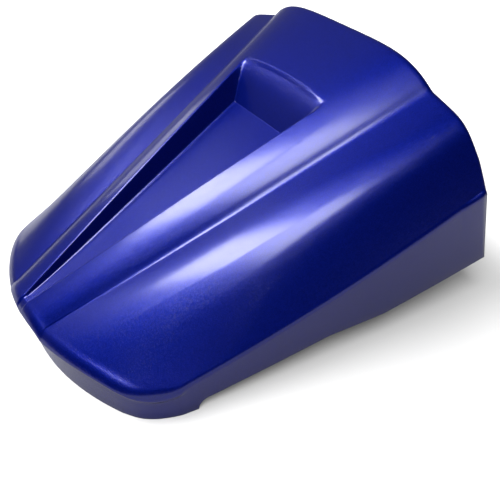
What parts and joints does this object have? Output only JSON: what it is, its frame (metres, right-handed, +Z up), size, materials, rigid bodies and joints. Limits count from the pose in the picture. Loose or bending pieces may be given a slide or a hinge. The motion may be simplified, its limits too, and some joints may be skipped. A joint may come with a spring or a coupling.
{
  "type": "seat cowl",
  "caption": "Rear seat cowl of a motorcycle: metallic blue moulded shell with a scoop, on a black tray with tongues and a latch striker.",
  "frame": {"origin": "centre of the part's plan, on the surface that it stands on", "axes": "+X to the right side of the motorcycle, +Y towards its front, where the cowl is highest, +Z up"},
  "size_m": [0.258, 0.274, 0.1551],
  "materials": {
    "metallic_paint": "satin",
    "black_moulding": "matte",
    "zinc_plate": "satin",
    "rubber": "matte"
  },
  "bodies": {
    "root": {"cowl_shell": "metallic_paint", "under_tray": "black_moulding", "latch_striker": "zinc_plate", "striker_plate": "zinc_plate", "striker_washer_left": "zinc_plate", "striker_washer_right": "zinc_plate", "striker_nut_left": "zinc_plate", "striker_nut_right": "zinc_plate", "damper_rear_left": "rubber", "damper_rear_right": "rubber", "damper_front_left": "rubber", "damper_front_right": "rubber", "tray_screw_left_1": "zinc_plate", "tray_screw_left_2": "zinc_plate", "tray_screw_left_3": "zinc_plate", "tray_screw_left_4": "zinc_plate", "tray_screw_right_1": "zinc_plate", "tray_screw_right_2": "zinc_plate", "tray_screw_right_3": "zinc_plate", "tray_screw_right_4": "zinc_plate"}
  },
  "joints": []
}
